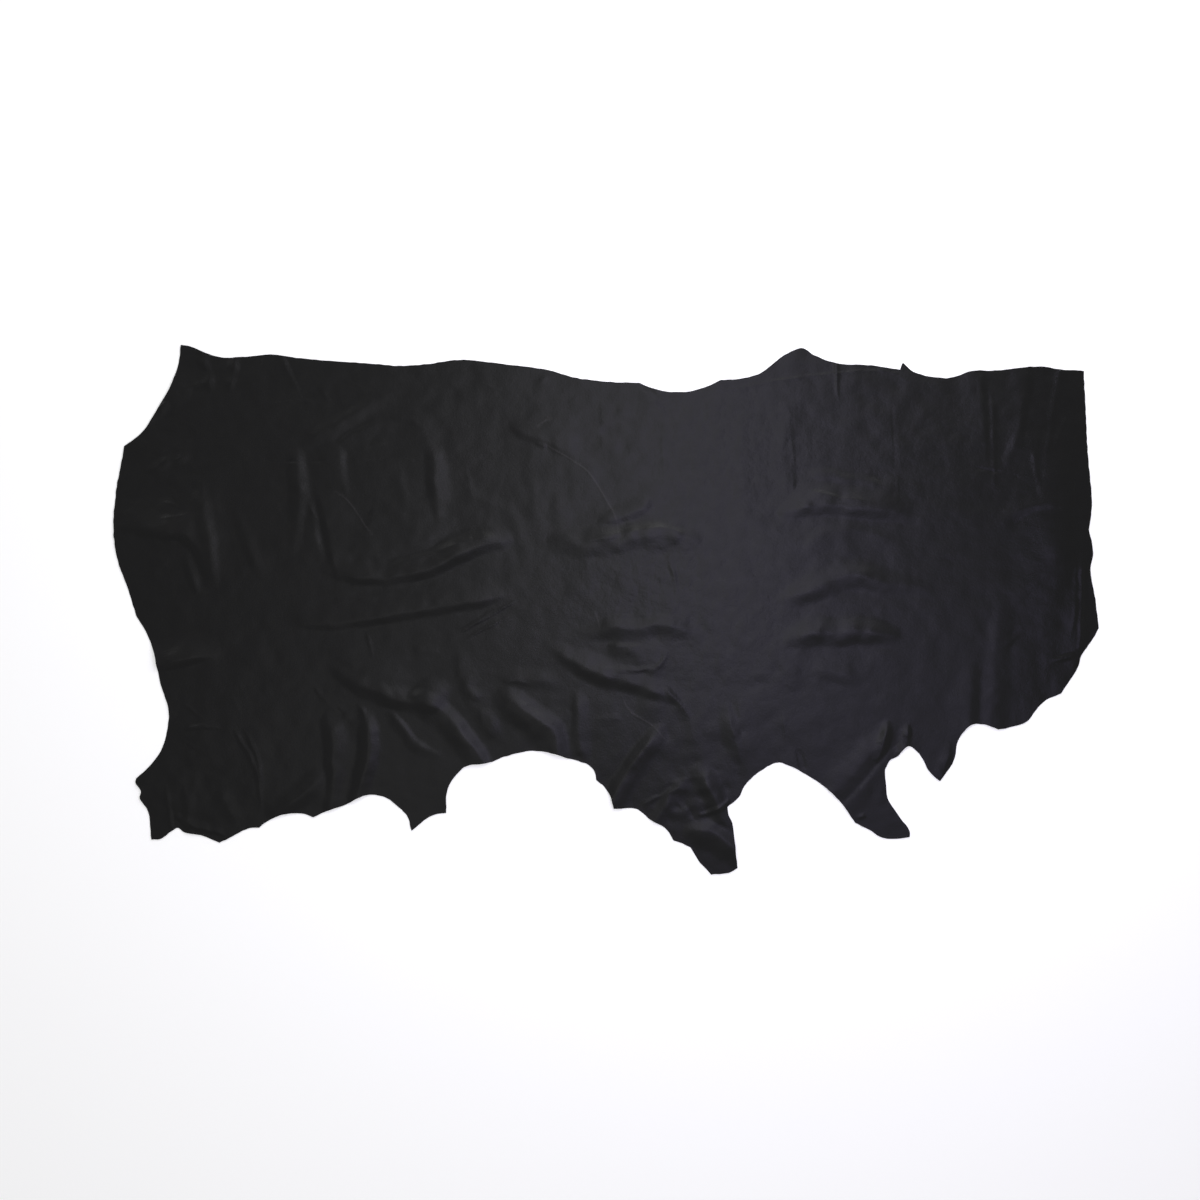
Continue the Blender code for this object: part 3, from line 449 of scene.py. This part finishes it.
def smoothRun(points, step):
    # centripetal Catmull-Rom: each piece blends its four nearest points by the square root of
    # their distances; further columns, such as a share, are carried along
    points = np.asarray(points, float)
    padded = np.vstack([2 * points[0] - points[1], points, 2 * points[-1] - points[-2]])
    chords = np.hypot(*np.diff(padded[:, :2], axis=0).T)
    knots = np.concatenate([[0.0], np.cumsum(np.sqrt(chords))])
    curve = []
    for i in range(len(points) - 1):
        p0, p1, p2, p3 = padded[i:i + 4]
        t0, t1, t2, t3 = knots[i:i + 4]
        pieces = max(1, math.ceil(chords[i + 1] / step))
        t = np.linspace(t1, t2, pieces, endpoint=False)[:, None]
        a1 = (p0 * (t1 - t) + p1 * (t - t0)) / (t1 - t0)
        a2 = (p1 * (t2 - t) + p2 * (t - t1)) / (t2 - t1)
        a3 = (p2 * (t3 - t) + p3 * (t - t2)) / (t3 - t2)
        b1 = (a1 * (t2 - t) + a2 * (t - t0)) / (t2 - t0)
        b2 = (a2 * (t3 - t) + a3 * (t - t1)) / (t3 - t1)
        curve.append((b1 * (t2 - t) + b2 * (t - t1)) / (t2 - t1))
    curve.append(points[-1:])
    return np.vstack(curve)


def cutEdge():
    # all runs end to end, clockwise, each without its last corner, which begins the next; the
    # knife's shake moves the points by soft noise
    runs = list(edgeRuns.values())
    loop = np.vstack([smoothRun(run + following[:1], hide["edgeStep"])[:-1]
                      for run, following in zip(runs, runs[1:] + runs[:1])])
    reach, cell = hide["knifeShake"], hide["knifeCell"]
    shake = [softNoise(loop[:, 0], loop[:, 1], cell, seed) for seed in seeds["knife"]]
    return loop + reach * np.column_stack(shake)


def ridgeHeight(fold, x, y):
    # share * (1 - u)^2 * (1 + 2 * roundness * u), where u is the distance to the crest over the
    # spread on that side, and both share and spread shrink towards the fold's ends
    name, height, left, right, roundness, crest = fold
    crest = smoothRun(crest, hide["crestStep"])
    reach = max(left, right)
    low, high = crest[:, :2].min(axis=0) - reach, crest[:, :2].max(axis=0) + reach
    near = np.flatnonzero((x > low[0]) & (x < high[0]) & (y > low[1]) & (y < high[1]))
    px, py = x[near], y[near]
    nearest = np.full(px.shape, np.inf)
    best = np.zeros(px.shape)
    for start, end in zip(crest[:-1], crest[1:]):
        run = end - start
        along = ((px - start[0]) * run[0] + (py - start[1]) * run[1]) / (run[0] ** 2 + run[1] ** 2)
        along = np.clip(along, 0, 1)
        offX = px - start[0] - along * run[0]
        offY = py - start[1] - along * run[1]
        distance = np.hypot(offX, offY)
        share = np.clip(start[2] + along * run[2], 0, 1)
        side = np.where(run[0] * offY > run[1] * offX, left, right)
        spread = side * (hide["thinEnd"] + (1 - hide["thinEnd"]) * np.sqrt(share))
        out = np.minimum(distance / spread, 1)
        rise = share * (1 - out) ** 2 * (1 + 2 * roundness * out)
        closer = distance < nearest
        nearest = np.where(closer, distance, nearest)
        best = np.where(closer, rise, best)
    total = np.zeros(x.shape)
    total[near] = height * best
    return total


def swellHeight(swell, x, y):
    # height * (1 - r^2)^2 inside an oval, r = 1 on its rim
    name, height, midX, midY, halfLength, halfWidth, degrees = swell
    turn = math.radians(degrees)
    along = ((x - midX) * math.cos(turn) + (y - midY) * math.sin(turn)) / halfLength
    across = ((y - midY) * math.cos(turn) - (x - midX) * math.sin(turn)) / halfWidth
    return height * np.clip(1 - along ** 2 - across ** 2, 0, None) ** 2


def waveHeight(x, y):
    # soft noise at several sizes, lifted a little; what lies below the floor is flat on it
    total = sum(height * softNoise(x, y, cell, seed) for height, cell, seed in waves)
    return np.clip(total + hide["waveLift"] * waves[0][0], 0, None) ** hide["wavePower"]


def foldHeight(x, y):
    # the folds' union, as the cube root of the sum of their cubes, swelling and sinking along them
    seedX, seedY = seeds["sway"]
    swayX = x + sum(reach * softNoise(x, y, cell, seedX) for reach, cell in hide["sways"])
    swayY = y + sum(reach * softNoise(x, y, cell, seedY) for reach, cell in hide["sways"])
    power = hide["unionPower"]
    union = sum(ridgeHeight(fold, swayX, swayY) ** power for fold in folds) ** (1 / power)
    seed = seeds["unevenFolds"]
    uneven = sum(share * softNoise(x, y, cell, seed) for share, cell in hide["unevenFolds"])
    return union * (1 + uneven)


def undersideHeight(x, y):
    # folds, swells and waves together: the flesh side, which the grain side follows
    return foldHeight(x, y) + sum(swellHeight(swell, x, y) for swell in swells) + waveHeight(x, y)


def wrinkleHeight(x, y):
    # wrinkles one on another, wandering and uneven along their length, with the scars between
    stray, cell = hide["strayReach"], hide["strayCell"]
    seedX, seedY = seeds["stray"]
    strayX = x + stray * softNoise(x, y, cell, seedX)
    strayY = y + stray * softNoise(x, y, cell, seedY)
    total = sum(ridgeHeight(wrinkle, strayX, strayY) for wrinkle in wrinkles)
    uneven = softNoise(x, y, hide["wrinkleCell"], seeds["unevenWrinkles"])
    total = total * (1 + hide["unevenWrinkles"] * uneven)
    return total + sum(ridgeHeight(scar, x, y) for scar in scars)


def foldShare(x, y):
    # the folds' height over that of a full fold, up to 1
    return np.minimum(foldHeight(x, y) / hide["fullFold"], 1)


def crumpleHeight(x, y):
    # small unevenness everywhere, more of it on the folds, and patches with cells of their own
    busy = hide["foldCrumple"] * foldShare(x, y)
    total = busy * softNoise(x, y, hide["crumpleCell"], seeds["crumple"])
    total += sum(height * softNoise(x, y, cell, seed) for height, cell, seed in cockles)
    for seed, (name, height, cell, *oval) in enumerate(crumples, seeds["firstPatch"]):
        total += swellHeight((name, height, *oval), x, y) * softNoise(x, y, cell, seed)
    return total


def scarShare(x, y):
    # 1 along the middle of a scar, 0 beside it
    share = np.zeros(x.shape)
    for scar in scars:
        share = np.maximum(share, ridgeHeight(scar, x, y) / scar[1])
    return share


def mottleShare(x, y):
    # 1 plus the height of each patch, less where a fold stretches the grain smooth
    share = 1 + sum(swellHeight(mottle, x, y) for mottle in mottles)
    return share * (1 - hide["foldCalm"] * foldShare(x, y))


def wearSheenShare(x, y):
    # the square of the folds' height over that of a fully worn one, up to 1: the crests' wear, and where
    # their painted highlight goes
    return np.clip(foldHeight(x, y) / hide["wornSheenHeight"], 0, 1) ** 2


def evenLattice(loop, step):
    # rows step * sqrt(3) / 2 apart, every second one moved by half a step, with a coarse quarter
    # marked: every second point of every second row, in turn
    low, high = loop.min(axis=0), loop.max(axis=0)
    rowStep = step * math.sqrt(3) / 2
    rows, columns = math.ceil((high[1] - low[1]) / rowStep), math.ceil((high[0] - low[0]) / step)
    row, column = np.mgrid[0:rows, 0:columns]
    x = low[0] + (column + row % 2 / 2) * step
    y = low[1] + row * rowStep
    return x, y, (row % 2 == 0) & ((column + row // 2) % 2 == 0)


def bendOf(height, step):
    # how fast the slope changes: second differences along a row, and between every second row,
    # whose points lie above each other, step * sqrt(3) apart
    bend = np.zeros(height.shape)
    bend[:, 1:-1] = np.abs(height[:, 2:] + height[:, :-2] - 2 * height[:, 1:-1]) / step ** 2
    rise = np.abs(height[4:] + height[:-4] - 2 * height[2:-2]) / (3 * step ** 2)
    bend[2:-2] = np.maximum(bend[2:-2], rise)
    return bend


def insideEdge(x, y, loop):
    # row by row: a point is inside if the edge crosses its row an odd number of times before it
    following = np.roll(loop, -1, axis=0)
    inside = np.zeros(x.shape, bool)
    for number, level in enumerate(y[:, 0]):
        crosses = (loop[:, 1] > level) != (following[:, 1] > level)
        start, end = loop[crosses], following[crosses]
        share = (level - start[:, 1]) / (end[:, 1] - start[:, 1])
        crossings = np.sort(start[:, 0] + share * (end[:, 0] - start[:, 0]))
        inside[number] = np.searchsorted(crossings, x[number]) % 2 == 1
    return inside


def keepOffEdge(points, loop, gap):
    # drops the points within a square of the gap round any point of the edge
    clear = np.ones(len(points), bool)
    for corner in loop:
        clear &= np.abs(points - corner).max(axis=1) > gap
    return points[clear]


def trimmedSheet(loop, inner):
    # a Delaunay triangulation of edge and inner points, of which only what the edge encloses stays
    points = np.vstack([loop, inner])
    edge = list(range(len(loop)))
    insideOnly, tolerance, faceList = 1, 1e-6, 2
    found = delaunay_2d_cdt(points.tolist(), [], [edge], insideOnly, tolerance)
    return points, np.array(found[faceList])


def bentLattice(loop, step, limit, heightOf, isBase):
    # of a lattice, what lies where the height bends more than the limit; its coarse quarter is kept
    # whole in a base lattice and left out of one that is laid over it
    x, y, isCoarse = evenLattice(loop, step)
    bend = bendOf(heightOf(x.ravel(), y.ravel()).reshape(x.shape), step)
    keep = np.where(isCoarse, isBase, bend > limit) & insideEdge(x, y, loop)
    return keepOffEdge(np.column_stack([x[keep], y[keep]]), loop, step * hide["edgeGap"])


def grainSheet(loop):
    # a lattice for the folds, with one of half its step for the wrinkles laid over it
    step = hide["foldStep"]
    folded = bentLattice(loop, step, hide["bendLimit"], undersideHeight, True)
    wrinkled = bentLattice(loop, step / 2, hide["wrinkleLimit"], wrinkleHeight, False)
    return trimmedSheet(loop, np.vstack([folded, wrinkled]))


def fleshSheet(loop):
    # a wider lattice, because only the folds shape this side
    points = bentLattice(loop, hide["underStep"], hide["underLimit"], undersideHeight, True)
    return trimmedSheet(loop, points)


def closedFaces(grainFaces, fleshFaces, grainCount, edgeCount):
    # grain side, flesh side turned over, and a band of two triangles for each step of the edge,
    # with the number of the material of each face; both sides list the edge's points first
    grainHere = np.arange(edgeCount)
    grainNext = (grainHere + 1) % edgeCount
    fleshHere, fleshNext = grainHere + grainCount, grainNext + grainCount
    rim = np.vstack([np.column_stack([grainHere, grainNext, fleshNext]),
                     np.column_stack([grainHere, fleshNext, fleshHere])])
    faces = np.vstack([grainFaces, fleshFaces[:, ::-1] + grainCount, rim])
    return faces, np.repeat([0, 1, 2], [len(grainFaces), len(fleshFaces), len(rim)])


def makeHide():
    # the grain side stands on the flesh side by the thickness and its own relief
    loop = cutEdge()
    middle = (loop.min(axis=0) + loop.max(axis=0)) / 2
    grain, grainFaces = grainSheet(loop)
    flesh, fleshFaces = fleshSheet(loop)
    x, y = grain.T
    relief = wrinkleHeight(x, y) + crumpleHeight(x, y)
    thickness = np.maximum(hide["thickness"] + relief, hide["leastThickness"])
    top = np.column_stack([grain - middle, undersideHeight(x, y) + thickness])
    under = np.column_stack([flesh - middle, undersideHeight(*flesh.T)])
    faces, slots = closedFaces(grainFaces, fleshFaces, len(grain), len(loop))
    mesh = bpy.data.meshes.new("tannedHide")
    mesh.from_pydata(np.vstack([top, under]) * mm, [], faces.tolist())
    mesh.polygons.foreach_set("material_index", slots)
    # what the materials read: the flesh side has no scars, no wear and no painted highlight, but the
    # plain mottle
    shares = (("scar", scarShare, 0), ("wearSheen", wearSheenShare, 0), ("mottle", mottleShare, 1))
    for name, shareOf, onFlesh in shares:
        values = np.concatenate([shareOf(x, y), np.full(len(flesh), onFlesh)]).astype(np.float32)
        mesh.attributes.new(name, "FLOAT", "POINT").data.foreach_set("value", values)
    mesh.shade_smooth()
    mesh.set_sharp_from_angle(angle=math.radians(hide["creaseAngle"]))
    piece = bpy.data.objects.new("tannedHide", mesh)
    bpy.context.scene.collection.objects.link(piece)
    print(f"hide: {len(grainFaces)} triangles on the grain side, {len(fleshFaces)} on the flesh side")
    return piece


finish = {
    "grainColour": (0.0034, 0.0034, 0.0036),
    # lighter on the tall fold crests: wear, and a painted highlight
    "wornSheenColour": (0.0050, 0.0049, 0.0050),
    "scarColour": (0.018, 0.017, 0.018),
    "roughness": (0.29, 0.45),  # where the finish lies thick, and where it is dry
    "wornRoughness": 0.26,
    "neckStart": 0.8, "neckEnd": 1.0,  # metres; the finish gets smoother between them
    "neckPolish": 0.11,
    "specular": 0.25,
    "cloudSize": 26.0, "pebbleSize": 3.4, "poreSize": 1.1,  # millimetres
    "cloudDetail": 5.0, "poreDetail": 2.0,
    "grainBumps": (0.95, 0.18, 0.05),  # heights of cloud, pebble and pore in millimetres
    "plainBumps": (0.2, 0.05, 0.15),
    "suedeColour": (0.021, 0.020, 0.021), "suedeRoughness": 0.95,
    "cutColour": (0.030, 0.028, 0.029), "cutRoughness": 0.9,
    "paleness": 1.5,  # how much lighter the pale parts of suede and cut are
}


def newMaterial(name, colour, roughness):
    # one Principled shader with these two values
    material = bpy.data.materials.new(name)
    material.use_nodes = True
    shader = material.node_tree.nodes["Principled BSDF"]
    shader.inputs["Base Color"].default_value = (*colour, 1)
    shader.inputs["Roughness"].default_value = roughness
    return material


class Wiring:
    # short ways to add and join nodes in one tree
    def __init__(self, tree):
        self.tree = tree

    def node(self, kind, **settings):
        node = self.tree.nodes.new(kind)
        for name, value in settings.items():
            setattr(node, name, value)
        return node

    def join(self, source, target):
        self.tree.links.new(source, target)

    def maths(self, operation, first, second):
        # each side is a socket or a number
        node = self.node("ShaderNodeMath", operation=operation)
        for socket, value in zip(node.inputs, (first, second)):
            if isinstance(value, (int, float)):
                socket.default_value = value
            else:
                self.join(value, socket)
        return node.outputs[0]

    def noise(self, place, scale, detail):
        # from 0 to 1, with so many finer layers
        node = self.node("ShaderNodeTexNoise")
        node.inputs["Detail"].default_value = detail
        self.join(place, node.inputs["Vector"])
        self.join(scale, node.inputs["Scale"])
        return node.outputs[0]

    def blend(self, share, first, second):
        # from the first colour to the second
        node = self.node("ShaderNodeMix", data_type="RGBA")
        self.join(share, node.inputs[0])
        for socket, value in zip(node.inputs[6:8], (first, second)):
            if isinstance(value, tuple):
                socket.default_value = (*value, 1)
            else:
                self.join(value, socket)
        return node.outputs[2]

    def between(self, share, low, high):
        # from the first number to the second
        node = self.node("ShaderNodeMapRange")
        self.join(share, node.inputs["Value"])
        node.inputs["To Min"].default_value = low
        node.inputs["To Max"].default_value = high
        return node.outputs[0]


def hideSkinGroup():
    # what every side of the leather shares: a cloudy mottle, a pebble of low cells and fine pores
    group = bpy.data.node_groups.new("hideSkin", "ShaderNodeTree")
    sockets = (("Place", "INPUT", "NodeSocketVector"), ("Cloud Scale", "INPUT", "NodeSocketFloat"),
               ("Pebble Scale", "INPUT", "NodeSocketFloat"), ("Pore Scale", "INPUT", "NodeSocketFloat"),
               ("Cloud", "OUTPUT", "NodeSocketFloat"), ("Pebble", "OUTPUT", "NodeSocketFloat"),
               ("Pore", "OUTPUT", "NodeSocketFloat"))
    for name, side, kind in sockets:
        group.interface.new_socket(name, in_out=side, socket_type=kind)
    wiring = Wiring(group)
    given = wiring.node("NodeGroupInput").outputs
    result = wiring.node("NodeGroupOutput").inputs
    cloud = wiring.noise(given["Place"], given["Cloud Scale"], finish["cloudDetail"])
    wiring.join(cloud, result["Cloud"])
    cells = wiring.node("ShaderNodeTexVoronoi", feature="SMOOTH_F1")
    wiring.join(given["Place"], cells.inputs["Vector"])
    wiring.join(given["Pebble Scale"], cells.inputs["Scale"])
    wiring.join(wiring.maths("SUBTRACT", 1.0, cells.outputs["Distance"]), result["Pebble"])
    pore = wiring.noise(given["Place"], given["Pore Scale"], finish["poreDetail"])
    wiring.join(pore, result["Pore"])
    return group


def leatherMaterial(name, group, colour, roughness, bumps):
    # the heights of cloud, pebble and pore, each times its bump, one added to another
    material = newMaterial(name, colour, roughness)
    shader = material.node_tree.nodes["Principled BSDF"]
    shader.inputs["Specular IOR Level"].default_value = finish["specular"]
    wiring = Wiring(material.node_tree)
    skin = wiring.node("ShaderNodeGroup", node_tree=group)
    wiring.join(wiring.node("ShaderNodeTexCoord").outputs["Object"], skin.inputs["Place"])
    for socket, size in (("Cloud Scale", "cloudSize"), ("Pebble Scale", "pebbleSize"),
                         ("Pore Scale", "poreSize")):
        skin.inputs[socket].default_value = 1 / (finish[size] * mm)
    mottle = wiring.node("ShaderNodeAttribute", attribute_name="mottle").outputs["Fac"]
    cloud = wiring.maths("MULTIPLY", skin.outputs["Cloud"], bumps[0] * mm)
    height = wiring.maths("MULTIPLY", cloud, mottle)
    for socket, bump in zip(("Pebble", "Pore"), bumps[1:]):
        height = wiring.maths("ADD", height, wiring.maths("MULTIPLY", skin.outputs[socket], bump * mm))
    relief = wiring.node("ShaderNodeBump")
    relief.inputs["Strength"].default_value = 1.0
    relief.inputs["Distance"].default_value = 1.0
    wiring.join(height, relief.inputs["Height"])
    wiring.join(relief.outputs[0], shader.inputs["Normal"])
    return material, wiring, skin, shader


def grainMaterial(group):
    # satin finish, a little glossier on worn folds and towards the neck, lighter in colour on tall fold
    # crests as wear and painted highlight, with pale healed scratches
    smooth, dry = finish["roughness"]
    material, wiring, skin, shader = leatherMaterial(
        "blackGrain", group, finish["grainColour"], dry, finish["grainBumps"])
    wearSheen = wiring.node("ShaderNodeAttribute", attribute_name="wearSheen").outputs["Fac"]
    scar = wiring.node("ShaderNodeAttribute", attribute_name="scar").outputs["Fac"]
    # the colour lightens on tall fold crests: partly wear, partly a painted highlight
    wornSheen = wiring.blend(wearSheen, finish["grainColour"], finish["wornSheenColour"])
    wiring.join(wiring.blend(scar, wornSheen, finish["scarColour"]), shader.inputs["Base Color"])
    cloudy = wiring.between(skin.outputs["Cloud"], smooth, dry)
    polish = wiring.maths("MULTIPLY", wearSheen, finish["wornRoughness"] - smooth)
    polished = wiring.maths("ADD", cloudy, polish)
    along = wiring.node("ShaderNodeSeparateXYZ")
    wiring.join(wiring.node("ShaderNodeTexCoord").outputs["Object"], along.inputs[0])
    neck = wiring.node("ShaderNodeMapRange", interpolation_type="SMOOTHSTEP")
    wiring.join(along.outputs["X"], neck.inputs["Value"])
    neck.inputs["From Min"].default_value = finish["neckStart"]
    neck.inputs["From Max"].default_value = finish["neckEnd"]
    neck.inputs["To Max"].default_value = finish["neckPolish"]
    wiring.join(wiring.maths("SUBTRACT", polished, neck.outputs[0]), shader.inputs["Roughness"])
    return material


def plainSide(name, group, colour, roughness):
    # suede and cut fibre: dull, cloudy in tone, with a nap
    material, wiring, skin, shader = leatherMaterial(name, group, colour, roughness, finish["plainBumps"])
    pale = tuple(finish["paleness"] * part for part in colour)
    wiring.join(wiring.blend(skin.outputs["Cloud"], colour, pale), shader.inputs["Base Color"])
    return material


studio = {
    "world": 0.45,
    "floorColour": (0.92, 0.92, 0.92), "floorRoughness": 0.9,
    "floorReach": 6.0, "floorDrop": 0.0004,  # metres
    "floorGlow": 0.33,  # the floor is lit a little from below
    "lights": {  # place, what they face, size, power, colour
        "stripFarLeft": ((-0.15, 0.45, 1.35), (-0.15, 0.45, 0.0), (0.3, 1.2), 1.05, (1, 1, 1)),
        "stripLeft": ((0.15, 0.45, 1.35), (0.15, 0.45, 0.0), (0.35, 1.5), 3.2, (0.88, 0.86, 1)),
        "stripRight": ((0.5, 0.45, 1.35), (0.5, 0.45, 0.0), (0.35, 1.5), 3.6, (0.74, 0.69, 1)),
        "padLeft": ((-0.6, -0.6, 1.8), (-0.6, -0.6, 0.0), (1.0, 1.0), 1.4, (1, 1, 1)),
        "padRight": ((0.85, -0.45, 1.8), (0.85, -0.45, 0.0), (1.0, 1.0), 3.1, (0.64, 0.57, 1)),
        "padBackLeft": ((-0.55, 0.35, 1.8), (-0.55, 0.35, 0.0), (1.0, 1.0), 0.55, (1, 1, 1)),
        "backLight": ((0.2, 2.0, 1.4), (0, 0, 0), (1.0, 1.0), 7.5, (1, 1, 1)),
        "backRight": ((1.4, 2.2, 1.4), (0, 0, 0), (1.0, 1.0), 23, (0.97, 0.96, 1)),
        "cornerLeft": ((-3.0, 2.8, 2.6), (0, 0, 0), (1.6, 1.6), 17, (1, 1, 1)),
    },
}


def areaLight(name, place, target, size, power, colour):
    # a soft rectangle that faces its target: tilted from straight down, then turned round to it
    light = bpy.data.lights.new(name, "AREA")
    light.shape = "RECTANGLE"
    light.size, light.size_y = size
    light.energy = power
    light.color = colour
    lamp = bpy.data.objects.new(name, light)
    lamp.location = place
    away = np.array(place) - np.array(target)
    if np.hypot(away[0], away[1]) > 0:
        lamp.rotation_euler = (math.acos(away[2] / np.linalg.norm(away)), 0,
                               math.atan2(away[1], away[0]) + math.pi / 2)
    lamp.visible_camera = False
    bpy.context.scene.collection.objects.link(lamp)
    return lamp


def makeFloor():
    # a square just under the hide
    mesh = bpy.data.meshes.new("studioFloor")
    reach = studio["floorReach"]
    corners = [(-reach, -reach, 0), (reach, -reach, 0), (reach, reach, 0), (-reach, reach, 0)]
    mesh.from_pydata(corners, [], [(0, 1, 2, 3)])
    floor = bpy.data.objects.new("studioFloor", mesh)
    floor.location.z = -studio["floorDrop"]
    pale = newMaterial("paleFloor", studio["floorColour"], studio["floorRoughness"])
    shader = pale.node_tree.nodes["Principled BSDF"]
    shader.inputs["Emission Color"].default_value = (1, 1, 1, 1)
    shader.inputs["Emission Strength"].default_value = studio["floorGlow"]
    mesh.materials.append(pale)
    bpy.context.scene.collection.objects.link(floor)


def makeLights():
    # even white light from all round, and the rectangles of the table
    world = bpy.data.worlds.new("studio")
    bpy.context.scene.world = world
    world.use_nodes = True
    background = world.node_tree.nodes["Background"]
    background.inputs["Color"].default_value = (1, 1, 1, 1)
    background.inputs["Strength"].default_value = studio["world"]
    for name, (place, target, size, power, colour) in studio["lights"].items():
        areaLight(name, place, target, size, power, colour)


viewpoint = {
    "lens": 50,  # millimetres
    "place": (-0.0135, 0.0218, 3.725),
}


def makeCamera():
    # straight above the hide, a little towards the rump and the back line from its box's middle
    camera = bpy.data.cameras.new("camera")
    camera.lens = viewpoint["lens"]
    view = bpy.data.objects.new("camera", camera)
    view.location = viewpoint["place"]
    bpy.context.scene.collection.objects.link(view)
    bpy.context.scene.camera = view


piece = makeHide()
skinGroup = hideSkinGroup()
for material in (
        grainMaterial(skinGroup),
        plainSide("blackSuede", skinGroup, finish["suedeColour"], finish["suedeRoughness"]),
        plainSide("cutFibre", skinGroup, finish["cutColour"], finish["cutRoughness"])):
    piece.data.materials.append(material)
print("leather done")
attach(piece, "root")
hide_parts("hide")
makeFloor()
makeLights()
makeCamera()
bpy.context.scene.view_settings.view_transform = "Standard"
print("studio and camera done")
